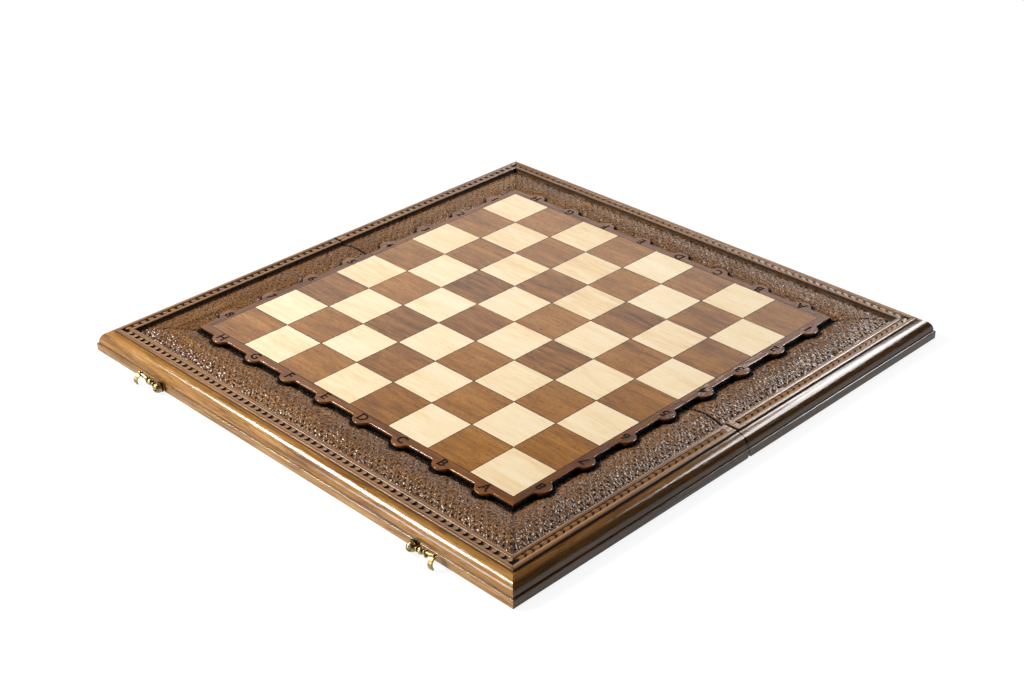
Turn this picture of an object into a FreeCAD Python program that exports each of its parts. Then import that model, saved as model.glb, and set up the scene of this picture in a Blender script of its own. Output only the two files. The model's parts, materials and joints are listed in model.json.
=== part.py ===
import FreeCAD, Part
import math
import os

V = FreeCAD.Vector

# Folding chess and backgammon board, opened flat with the chess side up. Millimetres.
# X runs along the fold, the hooks are on the -Y edge, and Z = 0 is the table that the rims stand on.

# Chess field
SQUARE = 45.0
ROWS_PER_HALF = 4
LINE_WIDTH = 0.8
VENEER = 1.2

# Field plate with its lobes
FIELD_BAND = 7.0
PLATE_THICKNESS = 7.0
LOBE_RADIUS = 8.5
LOBE_REACH = 6.75
LOBE_NECK_RADIUS = 3.0
PLATE_RELIEF = 0.4

# Carved border
GROUND_WIDTH = 39.0
GROUND_CREST_INSET = 16.0
GROUND_CREST_THICKNESS = 5.7
GROUND_FOOT_THICKNESS = 2.0
GROUND_GUTTER_THICKNESS = 1.2
RIM_WIDTH = 12.0
RIM_THICKNESS = 5.2

# Moulded rails
PLINTH_HEIGHT = 7.5
PLINTH_EDGE_RADIUS = 0.8
QUIRK_DEPTH = 1.5
QUIRK_HEIGHT = 0.7
OVOLO_RADIUS = 10.0
STEP_FLAT = 0.5
LEDGE_WIDTH = 4.0
HINGE_RAIL_WIDTH = 18.0

# Tray and backgammon points
TRAY_DEPTH = 12.0
FLOOR_THICKNESS = 3.0
POINTS_PER_TRAY_END = 6
POINT_LENGTH = 175.0
POINT_GAP = 2.0

# Fold and flush double-pivot hinges
FOLD_GAP = 0.5
PIVOT_INSET = 3.5
HINGE_PLACE = 130.0
LEAF_LENGTH = 36.0
LEAF_MARGIN = 2.5
LEAF_THICKNESS = 1.6
EYE_MARGIN = 0.7
EAR_THICKNESS = 2.5
LINK_THICKNESS = 4.0
LINK_CLEARANCE = 0.3
HINGE_PIN_RADIUS = 1.0
PIN_FIT = 0.05
LEAF_SCREW_HEAD_RADIUS = 2.4
LEAF_SCREW_RADIUS = 1.2
LEAF_SCREW_COVER = 3.0
LEAF_SCREW_EDGE = 5.0
SCREW_FIT = 0.03

# Swing hooks: boss and pivot screw
HOOK_INSET = 96.0
HOOK_CLEARANCE = 0.3
BOSS_FLANGE_RADIUS = 4.6
BOSS_FLANGE_HEIGHT = 1.5
BOSS_TABLE_GAP = 0.3
BOSS_DOME_RADIUS = 3.6
BOSS_DOME_BULGE = 0.6
BOSS_HEIGHT = 6.0
HOOK_SCREW_RADIUS = 1.5
HOOK_SCREW_COVER = 4.0
HOOK_SCREW_HEAD_RADIUS = 3.6
HOOK_SCREW_HEAD_HEIGHT = 2.4
HOOK_SCREW_SLOT = 0.7
HOOK_SCREW_SLOT_DEPTH = 1.2

# Swing hooks: the lengths of the turned arm, from the pivot outwards, and the radius of each swelling
ARM_CORE_RADIUS = 1.3
ARM_COVER = 0.5
NECK_LENGTH = 5.4
RING_LENGTH = 1.6
RING_RADIUS = 2.3
BEAD_GAP = 0.8
BULB_LENGTH = 4.8
BULB_RADIUS = 2.9
COLLAR_LENGTH = 2.2
COLLAR_RADIUS = 2.4
THROAT_LENGTH = 7.4
BLOCK_LENGTH = 2.4
BLOCK_RADIUS = 2.3
FINIAL_RADIUS = 1.1
FINIAL_SINK = 0.4

# Swing hooks: the prong and the finger on either side of the throat
PRONG_RADIUS = 1.6
PRONG_DROP = 2.8
THROAT_DROP = 3.2
FINGER_BEND_RADIUS = 5.2
FINGER_WIDTH = 3.8
FINGER_THICKNESS = 1.6
FINGER_SWEEP = 120.0
FINGER_TABLE_GAP = 0.4

# Catch studs for the hooks
STUD_SHANK_RADIUS = 1.5
STUD_COVER = 1.5
STUD_HEAD_RADIUS = 2.6
STUD_HEAD_THICKNESS = 3.0
STUD_HEAD_ROUND = 1.2

# Half widths, counted outwards from the middle of the board
SQUARES_PER_SIDE = 2 * ROWS_PER_HALF
FIELD_HALF = SQUARE * ROWS_PER_HALF
PLATE_HALF = FIELD_HALF + FIELD_BAND
RIM_INNER = PLATE_HALF + GROUND_WIDTH
RIM_OUTER = RIM_INNER + RIM_WIDTH
BOARD_HALF = RIM_OUTER + STEP_FLAT + OVOLO_RADIUS + QUIRK_DEPTH
WALL_INNER = RIM_OUTER - LEDGE_WIDTH
RAIL_WALL = BOARD_HALF - WALL_INNER

# Levels, counted upwards from the table
FLOOR_TOP = TRAY_DEPTH + FLOOR_THICKNESS
BOARD_TOP = FLOOR_TOP + PLATE_THICKNESS
RIM_TOP = FLOOR_TOP + RIM_THICKNESS
OVOLO_FOOT = PLINTH_HEIGHT + QUIRK_HEIGHT
RAIL_TOP = OVOLO_FOOT + OVOLO_RADIUS

# The fold's faces and pivots
FOLD_FACE = -FOLD_GAP / 2
PIVOT_Y = FOLD_FACE - PIVOT_INSET
EYE_RADIUS = PIVOT_INSET - EYE_MARGIN
LEAF_BACK = -HINGE_RAIL_WIDTH + LEAF_MARGIN
LEAF_SCREW_LENGTH = TRAY_DEPTH - LEAF_SCREW_COVER
LEAF_SCREW_SPREAD = LEAF_LENGTH / 2 - LEAF_SCREW_EDGE
SLOT_HALF = LINK_THICKNESS / 2 + LINK_CLEARANCE
EAR_OUTER = SLOT_HALF + EAR_THICKNESS

# Places along a hook's arm, its place, height and standoff at the rail, and how far below its pivot
# the stud of the shut box lies
RING_START = NECK_LENGTH
BULB_START = RING_START + RING_LENGTH + BEAD_GAP
COLLAR_START = BULB_START + BULB_LENGTH + BEAD_GAP
THROAT_START = COLLAR_START + COLLAR_LENGTH
BLOCK_START = THROAT_START + THROAT_LENGTH
PRONG_PLACE = COLLAR_START + COLLAR_LENGTH / 2
THROAT_PLACE = THROAT_START + THROAT_LENGTH / 2
FINGER_PLACE = BLOCK_START + BLOCK_LENGTH / 2
HOOK_PLACE = BOARD_HALF - HOOK_INSET
HOOK_HEIGHT = BOSS_FLANGE_RADIUS + BOSS_TABLE_GAP
ARM_STANDOFF = BOSS_HEIGHT - ARM_CORE_RADIUS - ARM_COVER
HOOK_SCREW_DEPTH = RAIL_WALL - HOOK_SCREW_COVER
STUD_HEIGHT = PLINTH_HEIGHT / 2
LATCH_DROP = HOOK_HEIGHT + STUD_HEIGHT + FOLD_GAP

X_AXIS = V(1, 0, 0)
Y_AXIS = V(0, 1, 0)
Z_AXIS = V(0, 0, 1)


def box(low, high):
    size = [high[i] - low[i] for i in range(3)]
    return Part.makeBox(size[0], size[1], size[2], V(*low))


def rod(radius, start, direction, length):
    return Part.makeCylinder(radius, length, start, direction)


def face_of(edges):
    return Part.Face(Part.Wire(edges))


def polygon_prism(corners, low, high):
    points = [V(x, y, low) for x, y in corners]
    face = Part.Face(Part.makePolygon(points + points[:1]))
    return face.extrude(V(0, 0, high - low))


def mirrored(shape):
    return shape.mirror(V(0, 0, 0), X_AXIS)


def turned(shape, degrees, axis=Z_AXIS, centre=V(0, 0, 0)):
    result = shape.copy()
    result.rotate(centre, axis, degrees)
    return result


def line(start, end):
    return Part.LineSegment(start, end).toShape()


def arc(start, middle, end):
    return Part.Arc(start, middle, end).toShape()


def on_circle(centre_x, centre_z, radius, degrees):
    angle = math.radians(degrees)
    return V(centre_x + radius * math.cos(angle), 0, centre_z + radius * math.sin(angle))


# Moulded rails

def rail_profile():
    """Section of a moulded rail: plinth, quirk, quarter round, and the ledge that the floor lies on."""
    edge = PLINTH_EDGE_RADIUS
    ovolo_centre = BOARD_HALF - QUIRK_DEPTH - OVOLO_RADIUS
    plinth_centre = BOARD_HALF - edge
    p = [
        V(WALL_INNER, 0, 0),
        V(plinth_centre, 0, 0),
        V(BOARD_HALF, 0, edge),
        V(BOARD_HALF, 0, PLINTH_HEIGHT - edge),
        V(plinth_centre, 0, PLINTH_HEIGHT),
        V(BOARD_HALF - QUIRK_DEPTH, 0, PLINTH_HEIGHT),
        V(BOARD_HALF - QUIRK_DEPTH, 0, OVOLO_FOOT),
        V(ovolo_centre, 0, RAIL_TOP),
        V(RIM_OUTER, 0, RAIL_TOP),
        V(RIM_OUTER, 0, TRAY_DEPTH),
        V(WALL_INNER, 0, TRAY_DEPTH),
    ]
    edges = [
        line(p[0], p[1]),
        arc(p[1], on_circle(plinth_centre, edge, edge, -45), p[2]),
        line(p[2], p[3]),
        arc(p[3], on_circle(plinth_centre, PLINTH_HEIGHT - edge, edge, 45), p[4]),
        line(p[4], p[5]),
        line(p[5], p[6]),
        arc(p[6], on_circle(ovolo_centre, OVOLO_FOOT, OVOLO_RADIUS, 45), p[7]),
        line(p[7], p[8]),
        line(p[8], p[9]),
        line(p[9], p[10]),
        line(p[10], p[0]),
    ]
    return face_of(edges)


def along_y(profile):
    """The profile run the whole width of the board, on the +X side."""
    start = profile.copy()
    start.translate(V(0, -BOARD_HALF, 0))
    return start.extrude(V(0, 2 * BOARD_HALF, 0))


def long_run(profile, outer, inner):
    """The profile along the front edge, with mitred ends."""
    corners = [(-outer, -outer), (outer, -outer), (inner, -inner), (-inner, -inner)]
    return turned(along_y(profile), -90).common(polygon_prism(corners, 0, BOARD_TOP))


def end_run(profile, outer, inner):
    """The profile along the right edge, mitred at the front and square at the fold."""
    corners = [(outer, -outer), (outer, FOLD_FACE), (inner, FOLD_FACE), (inner, -inner)]
    return along_y(profile).common(polygon_prism(corners, 0, BOARD_TOP))


def fold_corner():
    """What is cut away so that the lower edge at the fold is round about the pivot."""
    corner = box((-BOARD_HALF, PIVOT_Y, 0), (BOARD_HALF, 0, PIVOT_INSET))
    return corner.cut(rod(PIVOT_INSET, V(-BOARD_HALF, PIVOT_Y, PIVOT_INSET), X_AXIS, 2 * BOARD_HALF))


# Field plate, squares and lines

def lobed_side(start, end, middle, along, outward, centres, offset):
    """Edges of one side of the plate, with a round lobe at each centre along it from its middle."""
    inset = LOBE_RADIUS - LOBE_REACH
    reach = LOBE_RADIUS + LOBE_NECK_RADIUS
    sine = (LOBE_NECK_RADIUS + inset) / reach
    cosine = math.sqrt(1 - sine ** 2)
    half_base = reach * cosine
    half_turn = (math.asin(sine) + math.pi / 2) / 2
    lobe = LOBE_RADIUS + offset
    neck = LOBE_NECK_RADIUS - offset

    def place(t, out):
        return middle + along * t + outward * out

    edges = []
    last = start
    for centre in centres:
        joints = {}
        for side in (-1, 1):
            foot = place(centre + side * half_base, offset)
            join = place(centre + side * lobe * cosine, lobe * sine - inset)
            bend = place(
                centre + side * (half_base - neck * math.cos(half_turn)),
                LOBE_NECK_RADIUS - neck * math.sin(half_turn),
            )
            joints[side] = (foot, bend, join)
        tip = place(centre, LOBE_REACH + offset)
        edges.append(line(last, joints[-1][0]))
        edges.append(arc(joints[-1][0], joints[-1][1], joints[-1][2]))
        edges.append(arc(joints[-1][2], tip, joints[1][2]))
        edges.append(arc(joints[1][2], joints[1][1], joints[1][0]))
        last = joints[1][0]
    edges.append(line(last, end))
    return edges


def plate_blank(offset):
    """The front half of the plate as a plain board, grown sideways by offset."""
    edge = PLATE_HALF + offset
    rear_left = V(-edge, FOLD_FACE, FLOOR_TOP)
    front_left = V(-edge, -edge, FLOOR_TOP)
    front_right = V(edge, -edge, FLOOR_TOP)
    rear_right = V(edge, FOLD_FACE, FLOOR_TOP)
    left_middle = V(-PLATE_HALF, 0, FLOOR_TOP)
    front_middle = V(0, -PLATE_HALF, FLOOR_TOP)
    right_middle = V(PLATE_HALF, 0, FLOOR_TOP)
    columns = [SQUARE * (i + 0.5) - FIELD_HALF for i in range(SQUARES_PER_SIDE)]
    rows = columns[:ROWS_PER_HALF]
    left_rows = [-row for row in reversed(rows)]
    edges = lobed_side(rear_left, front_left, left_middle, -Y_AXIS, -X_AXIS, left_rows, offset)
    edges += lobed_side(front_left, front_right, front_middle, X_AXIS, -Y_AXIS, columns, offset)
    edges += lobed_side(front_right, rear_right, right_middle, Y_AXIS, X_AXIS, rows, offset)
    edges.append(line(rear_right, rear_left))
    return face_of(edges).extrude(V(0, 0, PLATE_THICKNESS))


def field_pocket():
    edge = FIELD_HALF + LINE_WIDTH / 2
    return box((-edge, -edge, BOARD_TOP - VENEER), (edge, FOLD_FACE, BOARD_TOP))


def square_tile(column, row):
    """One veneer square; column counts from the left and row from the front."""
    margin = LINE_WIDTH / 2
    left = -FIELD_HALF + SQUARE * column
    front = -FIELD_HALF + SQUARE * row
    back = FOLD_FACE if row == ROWS_PER_HALF - 1 else front + SQUARE - margin
    low = (left + margin, front + margin, BOARD_TOP - VENEER)
    return box(low, (left + SQUARE - margin, back, BOARD_TOP))


def square_tiles():
    """Light and dark squares of the front half; the front right corner is light."""
    light = []
    dark = []
    for row in range(ROWS_PER_HALF):
        for column in range(SQUARES_PER_SIDE):
            from_right = SQUARES_PER_SIDE - 1 - column
            group = light if (from_right + row) % 2 == 0 else dark
            group.append(square_tile(column, row))
    return light, dark


# Carved border boards

def border_profile():
    """Section of a border board: flat rim outside, pillowed ground inside."""
    foot = V(PLATE_HALF, 0, FLOOR_TOP + GROUND_FOOT_THICKNESS)
    crest = V(PLATE_HALF + GROUND_CREST_INSET, 0, FLOOR_TOP + GROUND_CREST_THICKNESS)
    gutter = V(RIM_INNER, 0, FLOOR_TOP + GROUND_GUTTER_THICKNESS)
    corners = [
        gutter,
        V(RIM_INNER, 0, RIM_TOP),
        V(RIM_OUTER, 0, RIM_TOP),
        V(RIM_OUTER, 0, FLOOR_TOP),
        V(PLATE_HALF, 0, FLOOR_TOP),
        foot,
    ]
    edges = [line(a, b) for a, b in zip(corners, corners[1:])]
    edges.append(arc(foot, crest, gutter))
    return face_of(edges)


# Tray floor and backgammon points

def point_inlays():
    """Long triangles from both ends of the tray, in two woods that take turns."""
    pitch = (WALL_INNER - HINGE_RAIL_WIDTH) / POINTS_PER_TRAY_END
    half_base = (pitch - POINT_GAP) / 2
    light = []
    dark = []
    for side in (-1, 1):
        for i in range(POINTS_PER_TRAY_END):
            middle = -HINGE_RAIL_WIDTH - pitch * (i + 0.5)
            base = side * WALL_INNER
            tip = side * (WALL_INNER - POINT_LENGTH)
            corners = [(base, middle - half_base), (base, middle + half_base), (tip, middle)]
            inlay = polygon_prism(corners, TRAY_DEPTH, TRAY_DEPTH + VENEER)
            group = light if (i % 2 == 0) == (side > 0) else dark
            group.append(inlay)
    return light, dark


# Hinges

def hinge_places():
    return [-HINGE_PLACE, HINGE_PLACE]


def leaf_screw(x, y, fit):
    """Countersunk screw driven up from the rim; fit widens it into its hole."""
    head = Part.makeCone(
        LEAF_SCREW_HEAD_RADIUS + fit, LEAF_SCREW_RADIUS + fit, LEAF_THICKNESS, V(x, y, 0), Z_AXIS)
    shank = rod(LEAF_SCREW_RADIUS + fit, V(x, y, 0), Z_AXIS, LEAF_SCREW_LENGTH + fit)
    return head.fuse(shank).removeSplitter()


def leaf_screw_places(x):
    y = (LEAF_BACK + PIVOT_Y) / 2
    return [(x - LEAF_SCREW_SPREAD, y), (x + LEAF_SCREW_SPREAD, y)]


def leaf_plate(x):
    return box((x - LEAF_LENGTH / 2, LEAF_BACK, 0), (x + LEAF_LENGTH / 2, PIVOT_Y, LEAF_THICKNESS))


def hinge_mortise(x):
    """Room in the hinge rail for a leaf, its ears and the link."""
    top = PIVOT_INSET + EYE_RADIUS + LINK_CLEARANCE
    pocket_back = PIVOT_Y - EYE_RADIUS - LINK_CLEARANCE
    pocket = box((x - EAR_OUTER, pocket_back, 0), (x + EAR_OUTER, 0, top))
    return leaf_plate(x).fuse(pocket)


def hinge_leaf(x):
    """Brass leaf flush with the rim, with an ear on each side of the link."""
    leaf = leaf_plate(x)
    for left in (x - EAR_OUTER, x + SLOT_HALF):
        eye = rod(EYE_RADIUS, V(left, PIVOT_Y, PIVOT_INSET), X_AXIS, EAR_THICKNESS)
        foot = box((left, PIVOT_Y - EYE_RADIUS, 0), (left + EAR_THICKNESS, PIVOT_Y, PIVOT_INSET))
        leaf = leaf.fuse(eye).fuse(foot)
    slot_back = PIVOT_Y - EYE_RADIUS - LINK_CLEARANCE
    slot = box((x - SLOT_HALF, slot_back, 0), (x + SLOT_HALF, 0, LEAF_THICKNESS))
    bore = rod(HINGE_PIN_RADIUS + SCREW_FIT, V(x - EAR_OUTER, PIVOT_Y, PIVOT_INSET), X_AXIS, 2 * EAR_OUTER)
    leaf = leaf.cut(slot).cut(bore)
    for place in leaf_screw_places(x):
        leaf = leaf.cut(leaf_screw(place[0], place[1], SCREW_FIT))
    return leaf.removeSplitter()


def hinge_pin(x):
    return rod(HINGE_PIN_RADIUS, V(x - EAR_OUTER, PIVOT_Y, PIVOT_INSET), X_AXIS, 2 * EAR_OUTER)


def hinge_link(x):
    """Flat link with an eye on the pin of each half."""
    left = x - LINK_THICKNESS / 2
    bar_low = (left, PIVOT_Y, PIVOT_INSET - EYE_RADIUS)
    link = box(bar_low, (left + LINK_THICKNESS, -PIVOT_Y, PIVOT_INSET + EYE_RADIUS))
    for y in (PIVOT_Y, -PIVOT_Y):
        link = link.fuse(rod(EYE_RADIUS, V(left, y, PIVOT_INSET), X_AXIS, LINK_THICKNESS))
    for y in (PIVOT_Y, -PIVOT_Y):
        link = link.cut(rod(HINGE_PIN_RADIUS + PIN_FIT, V(left, y, PIVOT_INSET), X_AXIS, LINK_THICKNESS))
    return link.removeSplitter()


# Hooks: made with the pivot at the origin, the arm along +X, the claw towards -Z and the face at Y = 0

def finger_end_drop():
    return FINGER_BEND_RADIUS * (1 - math.cos(math.radians(FINGER_SWEEP)))


def hook_rest_tilt():
    """Degrees that the arm is raised when the tip of its finger lies on the table."""
    drop = finger_end_drop()
    needed = FINGER_TABLE_GAP + FINGER_THICKNESS / 2 - HOOK_HEIGHT
    lean = math.atan2(drop, FINGER_PLACE)
    return math.degrees(lean + math.asin(needed / math.hypot(drop, FINGER_PLACE)))


def hook_latch_swing():
    """Degrees that a hook swings down from rest until its throat holds the stud of the shut box."""
    lean = math.atan2(THROAT_DROP, THROAT_PLACE)
    fall = math.asin(LATCH_DROP / math.hypot(THROAT_PLACE, THROAT_DROP))
    return hook_rest_tilt() + math.degrees(fall - lean)


def hook_boss():
    """Flange and dome round the pivot screw."""
    base = -HOOK_CLEARANCE
    shoulder = base - BOSS_FLANGE_HEIGHT
    top = -BOSS_HEIGHT
    middle = (shoulder + top) / 2
    bulge = BOSS_DOME_RADIUS + BOSS_DOME_BULGE
    edges = [
        line(V(0, base, 0), V(BOSS_FLANGE_RADIUS, base, 0)),
        line(V(BOSS_FLANGE_RADIUS, base, 0), V(BOSS_FLANGE_RADIUS, shoulder, 0)),
        line(V(BOSS_FLANGE_RADIUS, shoulder, 0), V(BOSS_DOME_RADIUS, shoulder, 0)),
        arc(V(BOSS_DOME_RADIUS, shoulder, 0), V(bulge, middle, 0), V(BOSS_DOME_RADIUS, top, 0)),
        line(V(BOSS_DOME_RADIUS, top, 0), V(0, top, 0)),
        line(V(0, top, 0), V(0, base, 0)),
    ]
    return face_of(edges).revolve(V(0, 0, 0), Y_AXIS, 360)


def hook_arm():
    """Turned arm: a thin core with rings and a bulb, and a ball at its end."""
    last = V(0, 0, ARM_CORE_RADIUS)
    edges = [line(V(0, 0, 0), last)]
    swellings = [
        (RING_START, RING_LENGTH, RING_RADIUS),
        (BULB_START, BULB_LENGTH, BULB_RADIUS),
        (COLLAR_START, COLLAR_LENGTH, COLLAR_RADIUS),
        (BLOCK_START, BLOCK_LENGTH, BLOCK_RADIUS),
    ]
    for start, length, radius in swellings:
        foot = V(start, 0, ARM_CORE_RADIUS)
        edges.append(line(last, foot))
        last = V(start + length, 0, ARM_CORE_RADIUS)
        edges.append(arc(foot, V(start + length / 2, 0, radius), last))
    ball = V(last.x + FINIAL_RADIUS - FINIAL_SINK, 0, 0)
    edges.append(line(last, V(last.x, 0, 0)))
    edges.append(line(V(last.x, 0, 0), V(0, 0, 0)))
    arm = face_of(edges).revolve(V(0, 0, 0), X_AXIS, 360).fuse(Part.makeSphere(FINIAL_RADIUS, ball))
    arm.translate(V(0, -ARM_STANDOFF, 0))
    return arm


def hook_prong():
    """Short drop under the arm, on the near side of the throat."""
    start = V(PRONG_PLACE, -ARM_STANDOFF, 0)
    stem = rod(ARM_CORE_RADIUS, start, -Z_AXIS, PRONG_DROP)
    return stem.fuse(Part.makeSphere(PRONG_RADIUS, start - Z_AXIS * PRONG_DROP))


def hook_finger():
    """Flat claw that bends outwards and down from the end of the arm, with a round tip."""
    start = V(FINGER_PLACE, -ARM_STANDOFF, 0)
    centre = start - Z_AXIS * FINGER_BEND_RADIUS
    width = FINGER_WIDTH / 2
    thickness = FINGER_THICKNESS / 2
    outline = [(-width, -thickness), (width, -thickness), (width, thickness), (-width, thickness)]
    corners = [start + V(x, 0, z) for x, z in outline]
    section = Part.Face(Part.makePolygon(corners + corners[:1]))
    finger = section.revolve(centre, X_AXIS, FINGER_SWEEP)
    turn = math.radians(FINGER_SWEEP)
    reach = FINGER_BEND_RADIUS * math.sin(turn)
    tip = centre + V(-width, -reach, FINGER_BEND_RADIUS * math.cos(turn))
    return finger.fuse(rod(thickness, tip, X_AXIS, FINGER_WIDTH))


def right_hook():
    hook = hook_boss()
    for piece in (hook_arm(), hook_prong(), hook_finger()):
        hook = hook.fuse(piece)
    bore = rod(HOOK_SCREW_RADIUS + PIN_FIT, V(0, 0, 0), -Y_AXIS, BOSS_HEIGHT)
    hook = turned(hook.cut(bore).removeSplitter(), -hook_rest_tilt(), Y_AXIS)
    hook.translate(V(HOOK_PLACE, -BOARD_HALF, HOOK_HEIGHT))
    return hook


def hook_screw():
    """Round-headed screw that the right hook turns on."""
    foot = -BOSS_HEIGHT - HOOK_CLEARANCE
    radius = HOOK_SCREW_HEAD_RADIUS
    height = HOOK_SCREW_HEAD_HEIGHT
    top = foot - height
    ball_radius = (radius ** 2 + height ** 2) / (2 * height)
    ball = Part.makeSphere(ball_radius, V(0, top + ball_radius, 0))
    head = ball.common(box((-radius, top, -radius), (radius, foot, radius)))
    slot = HOOK_SCREW_SLOT / 2
    head = head.cut(box((-radius, top, -slot), (radius, top + HOOK_SCREW_SLOT_DEPTH, slot)))
    shank = rod(HOOK_SCREW_RADIUS, V(0, foot, 0), Y_AXIS, HOOK_SCREW_DEPTH - foot)
    screw = head.fuse(shank).removeSplitter()
    screw.translate(V(HOOK_PLACE, -BOARD_HALF, HOOK_HEIGHT))
    return screw


def hook_screw_hole():
    start = V(HOOK_PLACE, -BOARD_HALF, HOOK_HEIGHT)
    return rod(HOOK_SCREW_RADIUS + SCREW_FIT, start, Y_AXIS, HOOK_SCREW_DEPTH + SCREW_FIT)


# Catch studs on the rear plinth, which the throats of the hooks hold when the box is shut

def stud_reach():
    return ARM_STANDOFF + FINGER_BEND_RADIUS + FINGER_THICKNESS / 2


def stud_root():
    reach = math.sqrt(THROAT_PLACE ** 2 + THROAT_DROP ** 2 - LATCH_DROP ** 2)
    return V(HOOK_PLACE + reach, RIM_OUTER + STUD_COVER, STUD_HEIGHT)


def catch_stud():
    """Round-headed stud set in the rail, standing out as far as the hooks do."""
    root = stud_root()
    head_foot = V(root.x, BOARD_HALF + stud_reach() - STUD_HEAD_THICKNESS, root.z)
    shank = rod(STUD_SHANK_RADIUS, root, Y_AXIS, head_foot.y - root.y)
    head = rod(STUD_HEAD_RADIUS, head_foot, Y_AXIS, STUD_HEAD_THICKNESS)
    circles = [edge for edge in head.Edges if len(edge.Vertexes) == 1]
    head = head.makeFillet(STUD_HEAD_ROUND, circles)
    return shank.fuse(head).removeSplitter()


def stud_hole():
    root = stud_root() - Y_AXIS * SCREW_FIT
    return rod(STUD_SHANK_RADIUS + SCREW_FIT, root, Y_AXIS, BOARD_HALF - root.y)


# Assembly

def half_pieces():
    """Every piece of the half on the hook side, before the hooks' and studs' own holes."""
    corner = fold_corner()
    rail = rail_profile()
    end_rail = end_run(rail, BOARD_HALF, WALL_INNER).cut(corner)
    hinge_rail = box((-WALL_INNER, -HINGE_RAIL_WIDTH, 0), (WALL_INNER, FOLD_FACE, TRAY_DEPTH)).cut(corner)
    screws = []
    for x in hinge_places():
        hinge_rail = hinge_rail.cut(hinge_mortise(x))
        for place in leaf_screw_places(x):
            screws.append(leaf_screw(place[0], place[1], 0))
            hinge_rail = hinge_rail.cut(leaf_screw(place[0], place[1], SCREW_FIT))

    recess = plate_blank(PLATE_RELIEF)
    border = border_profile()
    long_border = long_run(border, RIM_OUTER, PLATE_HALF).cut(recess)
    end_border = end_run(border, RIM_OUTER, PLATE_HALF).cut(recess)

    light_squares, dark_squares = square_tiles()
    lines = field_pocket()
    for tile in light_squares + dark_squares:
        lines = lines.cut(tile)

    light_points, dark_points = point_inlays()
    floor = box((-RIM_OUTER, -RIM_OUTER, TRAY_DEPTH), (RIM_OUTER, FOLD_FACE, FLOOR_TOP))
    for inlay in light_points + dark_points:
        floor = floor.cut(inlay)

    return {
        "long_rail": [long_run(rail, BOARD_HALF, WALL_INNER)],
        "left_rail": [mirrored(end_rail)],
        "right_rail": [end_rail],
        "hinge_rail": [hinge_rail],
        "tray_floor": [floor],
        "light_points": light_points,
        "dark_points": dark_points,
        "long_border": [long_border],
        "left_border": [mirrored(end_border)],
        "right_border": [end_border],
        "field_plate": [plate_blank(0).cut(field_pocket())],
        "light_squares": light_squares,
        "dark_squares": dark_squares,
        "field_lines": [lines],
        "hinge_leaves": [hinge_leaf(x) for x in hinge_places()],
        "hinge_screws": screws,
        "hinge_pins": [hinge_pin(x) for x in hinge_places()],
    }


def all_pieces():
    half = half_pieces()
    pieces = {}
    for name, solids in half.items():
        pieces["front_" + name] = solids
        pieces["rear_" + name] = [turned(solid, 180) for solid in solids]

    for hole in (hook_screw_hole(), mirrored(hook_screw_hole())):
        pieces["front_long_rail"] = [pieces["front_long_rail"][0].cut(hole)]
    for hole in (stud_hole(), mirrored(stud_hole())):
        pieces["rear_long_rail"] = [pieces["rear_long_rail"][0].cut(hole)]

    pieces["hinge_links"] = [hinge_link(x) for x in hinge_places()]
    pieces["right_hook"] = [right_hook()]
    pieces["left_hook"] = [mirrored(right_hook())]
    pieces["right_hook_screw"] = [hook_screw()]
    pieces["left_hook_screw"] = [mirrored(hook_screw())]
    pieces["catch_studs"] = [catch_stud(), mirrored(catch_stud())]
    return pieces


def main():
    os.makedirs("parts", exist_ok=True)
    for name, solids in all_pieces().items():
        whole = []
        for solid in solids:
            whole.extend(solid.Solids)
        shape = whole[0] if len(whole) == 1 else Part.makeCompound(whole)
        shape.exportStep("parts/" + name + ".step")
        valid = all(solid.isValid() for solid in whole)
        volume = sum(solid.Volume for solid in whole) / 1000
        print(f"{name}: {len(whole)} solids, {volume:.2f} cm3, valid {valid}")
    print(f"hook pivot {HOOK_PLACE:.2f}, {-BOARD_HALF:.2f}, {HOOK_HEIGHT:.2f}")
    print(f"hook rest tilt {hook_rest_tilt():.2f} degrees, latch swing {hook_latch_swing():.2f} degrees")


main()
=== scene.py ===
import json
import math

import bmesh
import bpy
import numpy as np
from mathutils import Matrix, Vector


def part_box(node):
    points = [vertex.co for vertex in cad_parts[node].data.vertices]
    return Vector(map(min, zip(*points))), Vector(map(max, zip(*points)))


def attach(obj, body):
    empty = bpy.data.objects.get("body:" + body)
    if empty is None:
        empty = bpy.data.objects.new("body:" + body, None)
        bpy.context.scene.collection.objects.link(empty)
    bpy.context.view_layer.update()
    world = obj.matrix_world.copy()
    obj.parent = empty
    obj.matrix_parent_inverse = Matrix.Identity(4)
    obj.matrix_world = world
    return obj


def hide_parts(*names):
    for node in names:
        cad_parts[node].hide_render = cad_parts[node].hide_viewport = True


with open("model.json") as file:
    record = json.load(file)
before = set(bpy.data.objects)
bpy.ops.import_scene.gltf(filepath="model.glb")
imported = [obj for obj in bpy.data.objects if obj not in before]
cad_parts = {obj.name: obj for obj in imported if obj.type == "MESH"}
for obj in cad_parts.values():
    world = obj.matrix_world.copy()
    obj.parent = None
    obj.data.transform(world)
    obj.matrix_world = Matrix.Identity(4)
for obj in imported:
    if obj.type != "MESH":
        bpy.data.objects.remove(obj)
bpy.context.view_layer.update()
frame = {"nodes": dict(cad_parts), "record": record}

MM = 0.001

# Sizes read from the frame
PLATE_LOW, PLATE_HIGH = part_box("front_field_plate")
BOARD_TOP = PLATE_HIGH.z
FLOOR_TOP = PLATE_LOW.z
FOLD_HALF_GAP = -PLATE_HIGH.y
RIM_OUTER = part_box("front_long_border")[1].x
FIELD_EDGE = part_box("front_field_lines")[1].x

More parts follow.
